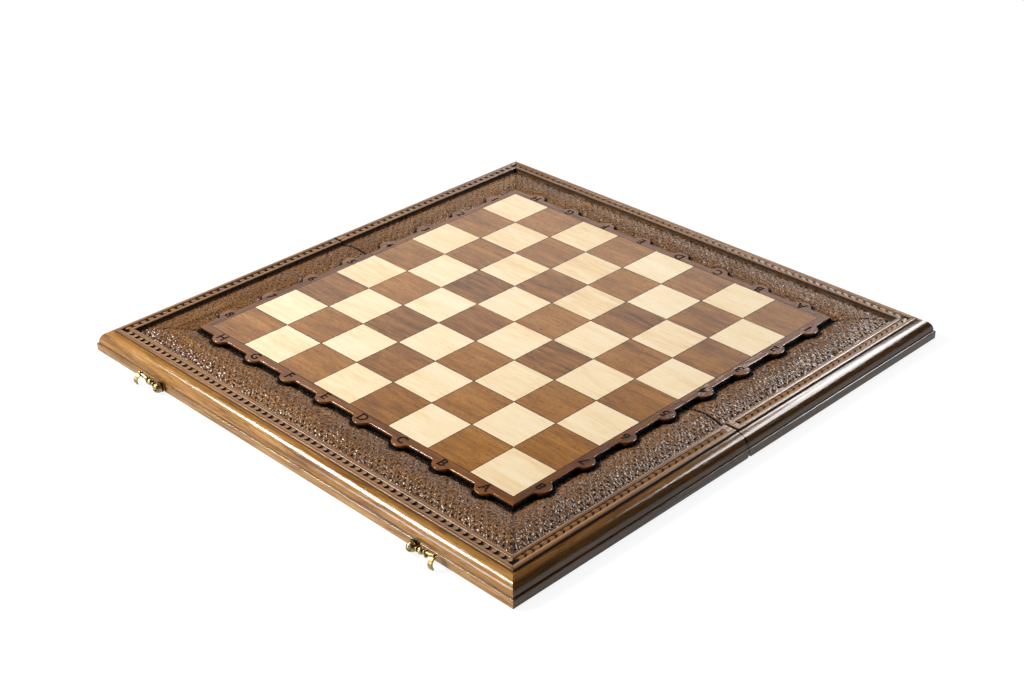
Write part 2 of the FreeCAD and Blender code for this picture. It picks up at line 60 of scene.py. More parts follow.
# The chess field and the lobed edge of its plate
SQUARE = 45 * MM
FIELD_HALF = 4 * SQUARE
LOBE_RADIUS = 8.5 * MM
LOBE_NECK_RADIUS = 3 * MM
LOBE_REACH = 6.75 * MM
LOBE_INSET = LOBE_RADIUS - LOBE_REACH
PLATE_HALF = PLATE_HIGH.x - LOBE_REACH
PLATE_RELIEF = 0.4 * MM
PLATE_EDGE_ROUND = 0.35 * MM
# How far below the top the plate's walls turn to painted shade
PLATE_WALL_SHADE = 1.0 * MM
SHARP_EDGE = math.radians(40)
SAME_PLANE = math.radians(1)
LEVEL_FACE = 0.999
SAME_PLACE = 0.01 * MM
MERGE_DISTANCE = 0.001 * MM

# The dark lines on the rails, painted shade in the quirk and below the rim's step and black at the fold:
# where each starts and where it is full, and how black it is
QUIRK_LEVEL = 7.85 * MM
QUIRK_LINE = (0.65 * MM, 0.35 * MM)
QUIRK_SHADE = 0.5
FOLD_LINE = (1.3 * MM, 0.5 * MM)
STEP_LINE = (RIM_OUTER + 1.1 * MM, RIM_OUTER + 0.4 * MM)
STEP_LINE_BLEND = 1.0 * MM
LONG_STEP_SHADE = 0.3
END_STEP_SHADE = 0.85
ROUND_DARKENING_BLEND = 0.6 * MM

# The figure of the wood. Cuts and leaf shifts move the figure, so that it changes at the joins
NOISE_LOW = 0.3
NOISE_HIGH = 0.7
STREAK_SHARE = 0.6
WALNUT_STOPS = (0.37, 0.5, 0.64)
PORE_DARKNESS = 0.65
PORE_RELIEF = 0.7
HALF_CUT = 3.7
END_CUT = 1.9
LEAF_SHIFT = 9
LEAF_SIDE_SHIFT = 5
LEAF_CONTRAST = 0.14

# The engraved letters and numbers
GLYPH_HEIGHT = 8.8 * MM
GLYPH_PLACE = PLATE_HALF - LOBE_INSET
GLYPH_DEPTH = 0.5 * MM
GLYPH_WEIGHT = 0.026
SERIF_WIDTH = 0.30
SERIF_HEIGHT = 0.08

# The brass
BRASS_HOLLOW = 1.6 * MM
ROSETTE_PETALS = 6
ROSETTE_RELIEF = 6

# The carved borders
CARVING_GRID = 0.5 * MM
RIM_INNER = RIM_OUTER - 12 * MM
RIM_TOP = FLOOR_TOP + 5.2 * MM
GROUND_FOOT = FLOOR_TOP + 2.0 * MM
GROUND_CREST = FLOOR_TOP + 5.7 * MM
GROUND_CREST_PLACE = PLATE_HALF + 16 * MM
GROUND_GUTTER = FLOOR_TOP + 1.2 * MM
# Painted shade lies beside the plate in the moat, which is also a dip, in the gutter by the rim, on the rim's
# edges and down its outer wall, and in the creases at the mitres
MOAT_DEPTH = 0.7 * MM
MOAT_WIDTH = 3.0 * MM
GUTTER_SHADE_WIDTH = 5.0 * MM
GUTTER_SHADE = 0.4
EDGE_EASE = 0.3 * MM
RIM_TONE_BLEND = 0.5 * MM
INNER_EDGE_SHADE = 0.7
GROOVE_EDGE_SHADE = 0.25
OUTER_EDGE_SHADE = 0.35
OUTER_FOOT_SHADE = 0.9
SEAM_WIDTH = 0.9 * MM
SEAM_DIP = 0.5 * MM
CREASE_WIDTH = 1.6 * MM
CREASE_SHADE = 0.35
LINE_BEAD_WIDTH = 3.3 * MM
GROOVE_WIDTH = 4.9 * MM
GROOVE_DEPTH = 1.3 * MM
GROOVE_FOLD_MARGIN = 7 * MM
GROOVE_MIDDLE = RIM_INNER + LINE_BEAD_WIDTH + GROOVE_WIDTH / 2

# The scales in the groove
SCALE_PITCH = 7.5 * MM
SCALE_CORNER_MARGIN = 2 * MM
SCALE_RISE = 1.5 * MM
SCALE_SINK = 0.3 * MM
SCALE_BOW = 2.3 * MM
SCALE_TAIL_RISE = 0.08
SCALE_RISE_POWER = 0.8
SCALE_SIDE_DROP = 0.55
# Painted shade at each scale's tail, under the tip of the scale before
SCALE_TAIL_SHADE = 1.3
SCALE_SHADE_FADE = 2.2
SCALE_SIDE_FADE = 0.5
SCALE_STEPS_ALONG = 4
SCALE_STEPS_ACROSS = 6
SCALE_LEAST_SIZE = (0.95, 0.95, 0.82)
SCALE_MOST_SIZE = (1.03, 1.0, 1.0)

# The punches on the ground
HOLE_PITCH = 7.3 * MM
HOLE_ROW_SPACING = 3.6 * MM
HOLE_RADIUS = 1.3 * MM
HOLE_DEPTH = 1.25 * MM
HOLE_LEAST_SIZE = 0.8
HOLE_SIZE_SPREAD = 0.4
HOLE_BOTTOM_SHARE = 0.35
HOLE_DRIFT_ALONG = 0.9 * MM
HOLE_DRIFT_ACROSS = 0.6 * MM
DEEP_ROWS = 1.2
FAINT_ROWS = 5.0
FAINT_STRENGTH = 0.15
# Painted shade in the faint holes away from the rim
FAINT_HOLE_SHADE = 0.2
STIPPLE_SIZE = 1.7 * MM
STIPPLE_DEPTH = 0.75 * MM
# Painted shade in the gaps between the stipples
STIPPLE_SHADE = 0.26
WAVER_HEIGHT = 0.3 * MM
PUNCH_SIZE = 1.5 * MM
# Painted shade in the fine punches that the material draws
PUNCH_SHADE = 0.42
PUNCH_RELIEF = 1.5

# The photograph's viewpoint
CAMERA_PLACE = Vector((0.8886, -0.8641, 0.7124))
CAMERA_TARGET = Vector((0.0217, -0.0245, BOARD_TOP))
CAMERA_ROLL = -1.27
CAMERA_LENS = 59.49
CAMERA_SENSOR = 36

# The lights, the studio that glossy surfaces see, and the table top
SOFTBOXES = {
    "key": {"place": (-1.15, -1.01, 1.25), "width": 0.75, "height": 0.4, "power": 46},
    "front": {"place": (-0.7, -1.9, 0.3), "width": 1.2, "height": 0.4, "power": 16},
    "back": {"place": (-0.1, 1.6, 1.4), "width": 1.4, "height": 0.22, "power": 16},
    "window": {"place": (0.7, 1.65, 1.42), "width": 1.0, "height": 0.6, "power": 34, "lights": False},
}
AMBIENT_LIGHT = 0.14
STUDIO_RIGHT = 0.45
STUDIO_RIGHT_LIGHT = 0.08
STUDIO_WALL_TOP = 0.47
STUDIO_CEILING = 0.575
STUDIO_CEILING_LIGHT = 0.1
WHITE = (1, 1, 1, 1)
TABLE_REACH = 8
TABLE_LEVEL = -0.3 * MM
TABLE_SHADOW_REACH = 0.42
TABLE_WHITE_REACH = 0.8
TABLE_GREY = (0.22, 0.22, 0.225, 1)
TABLE_GLOW = 0.88

# Each side of the board: the direction along it and the direction out of it
SIDES = {
    "front": (Vector((1, 0)), Vector((0, -1))),
    "right": (Vector((0, 1)), Vector((1, 0))),
    "rear": (Vector((-1, 0)), Vector((0, 1))),
    "left": (Vector((0, -1)), Vector((-1, 0))),
}

# Each border: its body, its side, and how it starts and stops. The rear half is the front one
# turned round, so its left border lies on the right-hand side
BORDERS = {
    "front_long_border": ("front_half", "front", "mitre", "mitre"),
    "front_right_border": ("front_half", "right", "mitre", "fold"),
    "front_left_border": ("front_half", "left", "fold", "mitre"),
    "rear_long_border": ("rear_half", "rear", "mitre", "mitre"),
    "rear_left_border": ("rear_half", "right", "fold", "mitre"),
    "rear_right_border": ("rear_half", "left", "mitre", "fold"),
}

# Letters and numbers from the left and from the front, and where the stems that have serifs stand,
# as a share of the width, with 0 for the foot and 1 for the head
FILES = "HGFEDCBA"
RANKS = "87654321"
SERIFS = {
    "A": [(0.08, 0), (0.92, 0)],
    "B": [(0.08, 0), (0.08, 1)],
    "D": [(0.06, 0), (0.06, 1)],
    "E": [(0.06, 0), (0.06, 1)],
    "F": [(0.12, 0), (0.06, 1)],
    "H": [(0.09, 0), (0.09, 1), (0.91, 0), (0.91, 1)],
    "1": [(0.62, 0)],
}


# Node trees

class Value:
    """A socket in a node tree. Arithmetic on it adds Math nodes, and node() adds any other node."""

    def __init__(self, tree, socket):
        self.tree = tree
        self.socket = socket

    def node(self, kind, settings=None, sockets=None, output=0):
        made = self.tree.nodes.new(kind)
        for name, setting in (settings or {}).items():
            if name == "stops":
                set_stops(made.color_ramp, setting)
            else:
                setattr(made, name, setting)
        for key, value in (sockets or {}).items():
            if isinstance(value, Value):
                self.tree.links.new(value.socket, made.inputs[key])
            else:
                made.inputs[key].default_value = value
        return Value(self.tree, made.outputs[output])

    def beside(self, output):
        return Value(self.tree, self.socket.node.outputs[output])

    def math(self, operation, *operands):
        return self.node("ShaderNodeMath", {"operation": operation}, dict(enumerate(operands)))

    def __add__(self, other):
        return self.math("ADD", self, other)

    def __sub__(self, other):
        return self.math("SUBTRACT", self, other)

    def __rsub__(self, other):
        return self.math("SUBTRACT", other, self)

    def __mul__(self, other):
        return self.math("MULTIPLY", self, other)

    def __truediv__(self, other):
        return self.math("DIVIDE", self, other)

    __radd__ = __add__
    __rmul__ = __mul__


def set_stops(colour_ramp, stops):
    elements = colour_ramp.elements
    while len(elements) < len(stops):
        elements.new(1)
    for element, (position, colour) in zip(elements, stops):
        element.position = position
        element.color = colour


def tone(red, green, blue):
    """A colour given as it looks on screen, 0 to 255, in the linear values that shaders use."""
    def linear(level):
        share = level / 255
        return share / 12.92 if share <= 0.04045 else ((share + 0.055) / 1.055) ** 2.4
    return (linear(red), linear(green), linear(blue), 1)


def ease(value, low, high, bottom=0.0, top=1.0):
    sockets = {"Value": value, "From Min": low, "From Max": high, "To Min": bottom, "To Max": top}
    return value.node("ShaderNodeMapRange", {"interpolation_type": "SMOOTHSTEP"}, sockets)


def noise(place, scale, detail=3.0, roughness=0.5, distortion=0.0):
    sockets = {"Vector": place, "Scale": scale, "Detail": detail}
    sockets.update({"Roughness": roughness, "Distortion": distortion})
    return place.node("ShaderNodeTexNoise", None, sockets)


def joined(x, y, z):
    """A vector made of three values, the first of them a socket."""
    return x.node("ShaderNodeCombineXYZ", None, {0: x, 1: y, 2: z})


def split(vector):
    x = vector.node("ShaderNodeSeparateXYZ", None, {0: vector})
    return x, x.beside(1), x.beside(2)


def ramp(value, *stops):
    return value.node("ShaderNodeValToRGB", {"stops": stops}, {0: value})


def mixed(factor, first, second, how="MIX"):
    settings = {"data_type": "RGBA", "blend_type": how}
    return factor.node("ShaderNodeMix", settings, {0: factor, 6: first, 7: second}, 2)


# Woods and metals

class Finish:
    """A material with one Principled shader."""

    def __init__(self, name):
        self.material = bpy.data.materials.new(name)
        self.material.use_nodes = True
        self.tree = self.material.node_tree
        self.shader = self.tree.nodes["Principled BSDF"]
        coordinates = self.tree.nodes.new("ShaderNodeTexCoord")
        self.place = Value(self.tree, coordinates.outputs["Object"])

    def set(self, **sockets):
        for name, value in sockets.items():
            socket = self.shader.inputs[name.replace("_", " ").title().replace("Ior", "IOR")]
            if isinstance(value, Value):
                self.tree.links.new(value.socket, socket)
            else:
                socket.default_value = value
        return self.material

    def attribute(self, name):
        return self.place.node("ShaderNodeAttribute", {"attribute_name": name}, None, "Fac")

    def bump(self, height, distance, strength):
        sockets = {"Strength": strength, "Distance": distance, "Height": height}
        return height.node("ShaderNodeBump", None, sockets)


def follow(pattern, at_low, at_high):
    """A value that eases from a noise's low places to its high ones."""
    return ease(pattern, NOISE_LOW, NOISE_HIGH, at_low, at_high)


def shades(pattern, *colours):
    """Colours spread evenly from a noise's low places to its high ones."""
    places = np.linspace(NOISE_LOW, NOISE_HIGH, len(colours)).tolist()
    return ramp(pattern, *zip(places, colours))


def fibres(place, grain, stretch):
    """Coordinates drawn out along the fibres. Each side of a half is another cut of the wood."""
    x, y, z = split(place)
    along, across = x, y
    cut = y.math("SIGN", y) * HALF_CUT
    if grain == "mitred":
        at_end = x.math("GREATER_THAN", x.math("ABSOLUTE", x), y.math("ABSOLUTE", y))
        along = at_end * y + (1 - at_end) * x
        across = at_end * x + (1 - at_end) * y
        cut = cut + at_end * x.math("SIGN", x) * END_CUT
    return joined(along * stretch + cut, across + cut, z)


def wood_figure(vector, broad_scale, streak_scale):
    """Broad bands in the wood, and streaks within them."""
    broad = noise(vector, broad_scale, detail=3, roughness=0.5, distortion=0.4)
    streaks = noise(vector, streak_scale, detail=6, roughness=0.62, distortion=0.7)
    return broad * (1 - STREAK_SHARE) + streaks * STREAK_SHARE


def wood_pores(vector, scale, low=0.56, high=0.68):
    """1 in the pores of the wood, 0 between them."""
    return ease(noise(vector, scale, detail=2, roughness=0.55), low, high)


def walnut(name, grain, tones, gloss, shade_and_stain=None, shine=0.4):
    """Lacquered walnut with open pores, and painted shade and other darkening over it where a function for
    them is given.
    """
    finish = Finish(name)
    vector = fibres(finish.place, grain, stretch=0.07)
    figure = wood_figure(vector, broad_scale=32, streak_scale=260)
    pores = wood_pores(vector, scale=1100)
    colour = ramp(figure, *zip(WALNUT_STOPS, tones))
    colour = mixed(pores * PORE_DARKNESS, colour, tones[0])
    if shade_and_stain:
        colour = shade_and_stain(finish.place, colour)
    relief = (1 - pores) * PORE_RELIEF + figure * (1 - PORE_RELIEF)
    return finish.set(
        base_color=colour,
        roughness=follow(figure, gloss + 0.06, gloss - 0.04),
        normal=finish.bump(relief, distance=0.1 * MM, strength=0.35),
        specular_ior_level=shine,
    )


def shaded_moulding(place, colour):
    """Darkening on the rails: darker on the round, painted shade on the ends, in the quirk and below the
    step, black at the fold.
    """
    x, y, z = split(place)
    from_fold = y.math("ABSOLUTE", y)
    from_centre = x.math("ABSOLUTE", x)
    at_end = x.math("GREATER_THAN", from_centre, from_fold)
    rounded = ease(z, QUIRK_LEVEL, QUIRK_LEVEL + ROUND_DARKENING_BLEND)
    colour = mixed(rounded, colour, ROUND_DARKENING, "MULTIPLY")
    # Painted shade on the end rails
    colour = mixed(at_end, colour, END_SHADE, "MULTIPLY")
    # Painted shade in the quirk and below the rim's step, darker on the end rails, and black at the fold
    quirk = ease(z.math("ABSOLUTE", z - QUIRK_LEVEL), *QUIRK_LINE)
    fold = ease(from_fold, *FOLD_LINE)
    above_floor = ease(z, FLOOR_TOP, FLOOR_TOP + STEP_LINE_BLEND)
    step = ease(x.math("MAXIMUM", from_centre, from_fold), *STEP_LINE) * above_floor
    step_shade = LONG_STEP_SHADE + at_end * (END_STEP_SHADE - LONG_STEP_SHADE)
    crevice_shade = quirk.math("MAXIMUM", quirk * QUIRK_SHADE, step * step_shade)
    return mixed(fold.math("MAXIMUM", crevice_shade, fold), colour, SHADE_BLACK)


def shaded_walls(place, colour):
    """Painted shade on the plate's walls below its eased edge."""
    z = split(place)[2]
    return mixed(ease(z, BOARD_TOP - PLATE_WALL_SHADE, BOARD_TOP - 2 * PLATE_WALL_SHADE), colour, SHADE_BLACK)


def veneer(name, tones, flecks, gloss):
    """Veneer squares: each square is another leaf, a little lighter or darker than the next."""
    finish = Finish(name)
    x, y, z = split(finish.place)
    column = x.math("FLOOR", x / SQUARE)
    row = y.math("FLOOR", y / SQUARE)
    cell = joined(column, row, 0.5)
    leaf = cell.node("ShaderNodeTexWhiteNoise", {"noise_dimensions": "3D"}, {"Vector": cell})
    vector = joined(x * 0.14 + leaf * LEAF_SHIFT, y + leaf * LEAF_SIDE_SHIFT, z)
    figure = wood_figure(vector, broad_scale=60, streak_scale=260)
    pores = wood_pores(joined(x * 0.3 + leaf * LEAF_SHIFT, y, z), scale=900, low=0.55, high=0.7)
    colour = shades(figure + (leaf - 0.5) * LEAF_CONTRAST, *tones)
    colour = mixed(pores * flecks, colour, tones[0])
    return finish.set(
        base_color=colour,
        roughness=follow(figure, gloss + 0.04, gloss - 0.03),
        normal=finish.bump(1 - pores, distance=0.05 * MM, strength=0.2),
        specular_ior_level=0.9,
    )


def carved_walnut():
    """The borders: walnut darkened almost to black by painted shade in the hollows, lacquered on what stands
    out.
    """
    finish = Finish("carved_walnut")
    across = finish.attribute("across")
    rim = ease(across, RIM_INNER, RIM_INNER + RIM_TONE_BLEND)
    punched = joined(finish.attribute("along") / PUNCH_SIZE, across / PUNCH_SIZE, 0)
    from_punch = punched.node("ShaderNodeTexVoronoi", {"voronoi_dimensions": "2D"},
                              {"Vector": punched, "Scale": 1.0, "Randomness": 0.5})
    # Painted shade in the fine punches, which the bump also sinks
    dots = finish.attribute("ground") * ease(from_punch, 0.34, 0.66)
    vector = fibres(finish.place, "mitred", stretch=0.12)
    figure = wood_figure(vector, broad_scale=40, streak_scale=260)
    grain = noise(finish.place, scale=900, detail=3, roughness=0.6)
    shade = figure * 0.6 + grain * 0.4
    bare = mixed(rim, shades(shade, *GROUND_TONES), shades(shade, *BAND_TONES))
    # The painted shade from the mesh and the punches, and the grain's own variation, turn the wood towards
    # black
    shade_and_stain = ease(finish.attribute("soil") + dots * PUNCH_SHADE + (grain - 0.5) * 0.5, 0.1, 0.72)
    return finish.set(
        base_color=mixed(shade_and_stain, bare, SHADE_BLACK),
        roughness=follow(grain, 0.6, 0.45),
        coat_weight=ease(shade_and_stain, 0.7, 0.0),
        coat_roughness=0.18,
        normal=finish.bump(grain - dots * PUNCH_RELIEF, distance=0.16 * MM, strength=0.5),
        specular_ior_level=0.12,
    )


def burnt_wood():
    """The floor and walls of the engraved letters."""
    finish = Finish("burnt_engraving")
    char = noise(finish.place, scale=1500, detail=4, roughness=0.6)
    return finish.set(
        base_color=shades(char, *BURNT_TONES),
        roughness=follow(char, 0.9, 0.7),
        normal=finish.bump(char, distance=0.08 * MM, strength=0.6),
        specular_ior_level=0.15,
    )


def brass(name, cuts=None):
    """Polished cast brass, aged dark in hollows and in the cuts where some are given."""
    finish = Finish(name)
    patches = noise(finish.place, scale=420, detail=4, roughness=0.6)
    scratches = noise(finish.place, scale=2600, detail=2, roughness=0.5)
    relief = scratches * 0.4 + patches
    hollow = finish.place.node("ShaderNodeAmbientOcclusion", {"samples": 6, "only_local": True},
                               {"Distance": BRASS_HOLLOW}, "AO")
    age = ease(hollow * 0.75 + patches * 0.4, 1.1, 0.72)
    if cuts:
        cut = cuts(finish.place)
        age = age.math("MAXIMUM", age, cut * 0.9)
        relief = relief - cut * ROSETTE_RELIEF
    return finish.set(
        base_color=mixed(age, *BRASS_TONES),
        metallic=1.0,
        roughness=follow(patches, 0.2, 0.34) + age * 0.2,
        normal=finish.bump(relief, distance=0.06 * MM, strength=0.4),
    )


def rosette(place):
    """1 in the cuts between the petals on a hook screw's head, 0 elsewhere."""
    low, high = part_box("right_hook_screw")
    centre = (low + high) / 2
    x, _, z = split(place)
    sideways = x.math("ABSOLUTE", x) - centre.x
    upward = z - centre.z
    from_centre = x.math("SQRT", sideways * sideways + upward * upward) / (high.z - centre.z)
    angle = x.math("ARCTAN2", upward, sideways)
    between = ease(x.math("COSINE", angle * ROSETTE_PETALS), -0.2, 0.6)
    petal_ring = ease(from_centre, 0.28, 0.4) * ease(from_centre, 0.9, 0.76)
    return petal_ring * between


def steel(name):
    """Yellowish steel, lightly brushed."""
    finish = Finish(name)
    brushed = noise(finish.place, scale=1800, detail=3, roughness=0.6)
    return finish.set(
        base_color=shades(brushed, *STEEL_TONES),
        metallic=1.0,
        roughness=follow(brushed, 0.26, 0.4),
        normal=finish.bump(brushed, distance=0.03 * MM, strength=0.4),
    )


# Tones run from dark to light, but for the brass, which is bright and then dull
# Black for painted shade in hollows, creases and on shaded walls, and for the line at the fold
SHADE_BLACK = tone(14, 8, 4)
# The round of the rails is darker than the plinth
ROUND_DARKENING = (0.82, 0.78, 0.7, 1)
# Painted shade on the rails at the ends of the board
END_SHADE = (0.66, 0.57, 0.52, 1)
RAIL_TONES = (tone(104, 64, 24), tone(174, 126, 64), tone(210, 164, 100))
PLATE_TONES = (tone(62, 31, 6), tone(112, 62, 14), tone(142, 86, 28))
FLOOR_TONES = (tone(110, 74, 40), tone(156, 112, 66), tone(180, 136, 86))
LIGHT_TONES = (tone(234, 198, 146), tone(249, 223, 180), tone(253, 236, 202))
DARK_TONES = (tone(90, 50, 10), tone(148, 94, 30), tone(178, 122, 50))
LINE_TONES = (tone(40, 23, 12), tone(60, 36, 20), tone(80, 50, 30))
GROUND_TONES = (tone(72, 42, 14), tone(130, 84, 38), tone(188, 136, 74))
BAND_TONES = (tone(80, 47, 16), tone(134, 88, 38), tone(172, 122, 60))
BURNT_TONES = (tone(24, 12, 6), tone(46, 24, 12))
STEEL_TONES = (tone(150, 132, 92), tone(196, 178, 132))
BRASS_TONES = (tone(190, 166, 112), tone(44, 34, 18))
FINISHES = {
    "rail_walnut": walnut("rail_walnut", "mitred", RAIL_TONES, gloss=0.12, shade_and_stain=shaded_moulding),
    "hinge_rail_walnut": walnut("hinge_rail_walnut", "x", RAIL_TONES, gloss=0.3),
    "plate_walnut": walnut("plate_walnut", "mitred", PLATE_TONES, gloss=0.15, shade_and_stain=shaded_walls, shine=0.8),
    "floor_walnut": walnut("floor_walnut", "x", FLOOR_TONES, gloss=0.3),
    "light_inlay": veneer("light_inlay", LIGHT_TONES, flecks=0.25, gloss=0.14),
    "dark_inlay": veneer("dark_inlay", DARK_TONES, flecks=0.7, gloss=0.14),
    "line_wood": walnut("line_wood", "x", LINE_TONES, gloss=0.25),
    "brass": brass("brass"),
    "rosette_brass": brass("rosette_brass", cuts=rosette),
    "screw_steel": steel("screw_steel"),
    "carved_walnut": carved_walnut(),
    "burnt_engraving": burnt_wood(),
}

# Nodes that look different from the rest of their slot
OTHER_FINISHES = {
    "front_hinge_rail": "hinge_rail_walnut",
    "rear_hinge_rail": "hinge_rail_walnut",
    "left_hook_screw": "rosette_brass",
    "right_hook_screw": "rosette_brass",
}


# Mesh helpers

def new_object(name, data):
    made = bpy.data.objects.new(name, data)
    bpy.context.scene.collection.objects.link(made)
    return made


def as_plain_mesh(made):
    """Turns an object's modifiers into a plain mesh."""
    graph = bpy.context.evaluated_depsgraph_get()
    evaluated = made.evaluated_get(graph)
    mesh = bpy.data.meshes.new_from_object(evaluated, preserve_all_data_layers=True, depsgraph=graph)
    made.modifiers.clear()
    made.data = mesh
    return mesh


def smooth_but_for(mesh, degrees):
    """Smooth shading, except at edges sharper than the angle given."""
    mesh.shade_smooth()
    mesh.set_sharp_from_angle(angle=math.radians(degrees))


def set_numbers(mesh, name, numbers):
    layer = mesh.attributes.new(name, "FLOAT", "POINT")
    layer.data.foreach_set("value", np.asarray(numbers, np.float32).ravel())


# The carved borders

def lobe_swell(along):
    """How far the recess round the plate swells beside each lobe, past its straight edge."""
    from_lobe = np.abs((along / SQUARE) % 1 - 0.5) * SQUARE
    reach = LOBE_RADIUS + LOBE_NECK_RADIUS
    cosine = math.sqrt(1 - ((LOBE_NECK_RADIUS + LOBE_INSET) / reach) ** 2)
    outer = LOBE_RADIUS + PLATE_RELIEF
    inner = LOBE_NECK_RADIUS - PLATE_RELIEF
    before_base = np.clip(reach * cosine - from_lobe, 0, inner)
    round_end = np.sqrt(np.maximum(outer ** 2 - from_lobe ** 2, 0)) - LOBE_INSET
    neck = LOBE_NECK_RADIUS - np.sqrt(inner ** 2 - before_base ** 2)
    swell = np.where(from_lobe < outer * cosine, round_end, neck) - PLATE_RELIEF
    return np.where(np.abs(along) < FIELD_HALF, swell, 0)


def circle_through(first, second, third):
    """Centre and radius of the circle through three points."""
    (ax, ay), (bx, by), (cx, cy) = first, second, third
    a, b, c = (x * x + y * y for x, y in (first, second, third))
    twice_area = 2 * (ax * (by - cy) + bx * (cy - ay) + cx * (ay - by))
    x = (a * (by - cy) + b * (cy - ay) + c * (ay - by)) / twice_area
    y = (a * (cx - bx) + b * (ax - cx) + c * (bx - ax)) / twice_area
    return x, y, math.hypot(ax - x, ay - y)


def pillow(across):
    """Height of the ground, which swells like a pillow between the plate and the rim."""
    middle, depth, radius = circle_through(
        (PLATE_HALF, GROUND_FOOT), (GROUND_CREST_PLACE, GROUND_CREST), (RIM_INNER, GROUND_GUTTER))
    return depth + np.sqrt(radius ** 2 - (across - middle) ** 2)


def rim_section():
    """The rim's section: distance from the board's middle, height, share of the groove's depth, painted
    shade.
    """
    groove_start = RIM_INNER + LINE_BEAD_WIDTH
    groove_end = groove_start + GROOVE_WIDTH
    eased = RIM_TOP - EDGE_EASE
    return [
        (RIM_INNER, eased, 0, INNER_EDGE_SHADE),
        (RIM_INNER + EDGE_EASE, RIM_TOP, 0, 0),
        (groove_start - EDGE_EASE, RIM_TOP, 0, 0),
        (groove_start, eased, 0, GROOVE_EDGE_SHADE),
        (groove_start + EDGE_EASE, eased, 1, 1),
        (groove_end - EDGE_EASE, eased, 1, 1),
        (groove_end, eased, 0, GROOVE_EDGE_SHADE),
        (groove_end + EDGE_EASE, RIM_TOP, 0, 0),
        (RIM_OUTER - EDGE_EASE, RIM_TOP, 0, 0),
        (RIM_OUTER, eased, 0, OUTER_EDGE_SHADE),
        (RIM_OUTER, FLOOR_TOP, 0, OUTER_FOOT_SHADE),
    ]


def near_end(end, along, across):
    """How strong a border's end shows in its dip and painted shade: 1 at the fold, a soft crease at a mitre,
    0 a little way off.
    """
    if end == "mitre":
        return CREASE_SHADE * np.exp(-((across - np.abs(along)) / CREASE_WIDTH) ** 2)
    return np.exp(-((np.abs(along) - FOLD_HALF_GAP) / SEAM_WIDTH) ** 2)


def end_place(end, sign, across):
    """Where a border stops: at the mitre, or at the fold."""
    return sign * across if end == "mitre" else -sign * FOLD_HALF_GAP + 0 * across


def border_stations(start, stop):
    """Lines along a border, from the plate over the ground and the rim and down its outer wall.

    Each holds the places along and across, the height, where the ground is punched, and the painted shade."""
    base = PLATE_HALF + PLATE_RELIEF
    length = float(end_place(stop, 1, RIM_INNER) - end_place(start, -1, RIM_INNER))
    share = np.linspace(0, 1, round(length / CARVING_GRID) + 1)
    nothing = np.zeros_like(share)

    def run(across):
        low = end_place(start, -1, across)
        return low + share * (end_place(stop, 1, across) - low)

    def near_ends(along, across):
        return np.maximum(near_end(start, along, across), near_end(stop, along, across))

    foot_along = run(base)
    foot_across = base + lobe_swell(foot_along)
    stations = [(foot_along, foot_across, nothing + FLOOR_TOP, nothing, nothing + 1)]
    rows = round((RIM_INNER - base) / CARVING_GRID)
    for row in range(rows + 1):
        part = row / rows
        straight = base + part * (RIM_INNER - base)
        along = run(straight)
        swell = lobe_swell(along)
        across = straight + swell * (1 - part) ** 2
        from_plate = across - base - swell
        moat = np.exp(-(np.maximum(from_plate, 0) / MOAT_WIDTH) ** 2)
        gutter = np.exp(-((RIM_INNER - across) / GUTTER_SHADE_WIDTH) ** 2)
        seam = near_ends(along, across)
        height = pillow(across) - MOAT_DEPTH * moat - SEAM_DIP * seam
        punched = nothing + (0 if row in (0, rows) else 1)
        # Painted shade beside the plate, in the gutter by the rim, at the fold seam and in the mitre creases
        shade_and_stain = np.maximum.reduce([moat, gutter * GUTTER_SHADE, seam])
        stations.append((along, across, height, punched, shade_and_stain))
    for place, height, groove, shade_and_stain in rim_section():
        along = run(place)
        beside_fold = (np.abs(along) < FOLD_HALF_GAP + GROOVE_FOLD_MARGIN) & ("fold" in (start, stop))
        depth = groove * np.where(beside_fold, -EDGE_EASE, GROOVE_DEPTH - EDGE_EASE)
        # Painted shade on the rim's edges, in its groove and down its outer wall, none in the groove where it
        # flattens beside the fold
        rim_shade = np.where(beside_fold, shade_and_stain * (1 - groove), shade_and_stain)
        seam = near_ends(along, place) if height > FLOOR_TOP else nothing
        lowered = height - depth - SEAM_DIP * seam
        stations.append((along, nothing + place, lowered, nothing, np.maximum(rim_shade, seam)))
    return stations


def border_mesh(name, side, start, stop):
    """One border board as a closed solid on a fine grid, ready to be punched."""
    along_axis, out_axis = SIDES[side]
    layers = zip(*border_stations(start, stop))
    along, across, height, ground, soil = (np.array(layer) for layer in layers)
    points = np.stack([
        along * along_axis.x + across * out_axis.x,
        along * along_axis.y + across * out_axis.y,
        height,
    ], axis=-1).reshape(-1, 3)
    index = np.arange(along.size).reshape(along.shape)
    after = np.roll(index, -1, axis=0)
    quads = np.stack([index[:, :-1], after[:, :-1], after[:, 1:], index[:, 1:]], axis=-1).reshape(-1, 4)
    faces = quads.tolist()
    faces.append(index[::-1, 0].tolist())
    faces.append(index[:, -1].tolist())
    mesh = bpy.data.meshes.new(name)
    mesh.from_pydata(points.tolist(), [], faces)
    for key, numbers in {"along": along, "across": across, "ground": ground, "soil": soil}.items():
        set_numbers(mesh, key, numbers)
    mesh.shade_smooth()
    return mesh


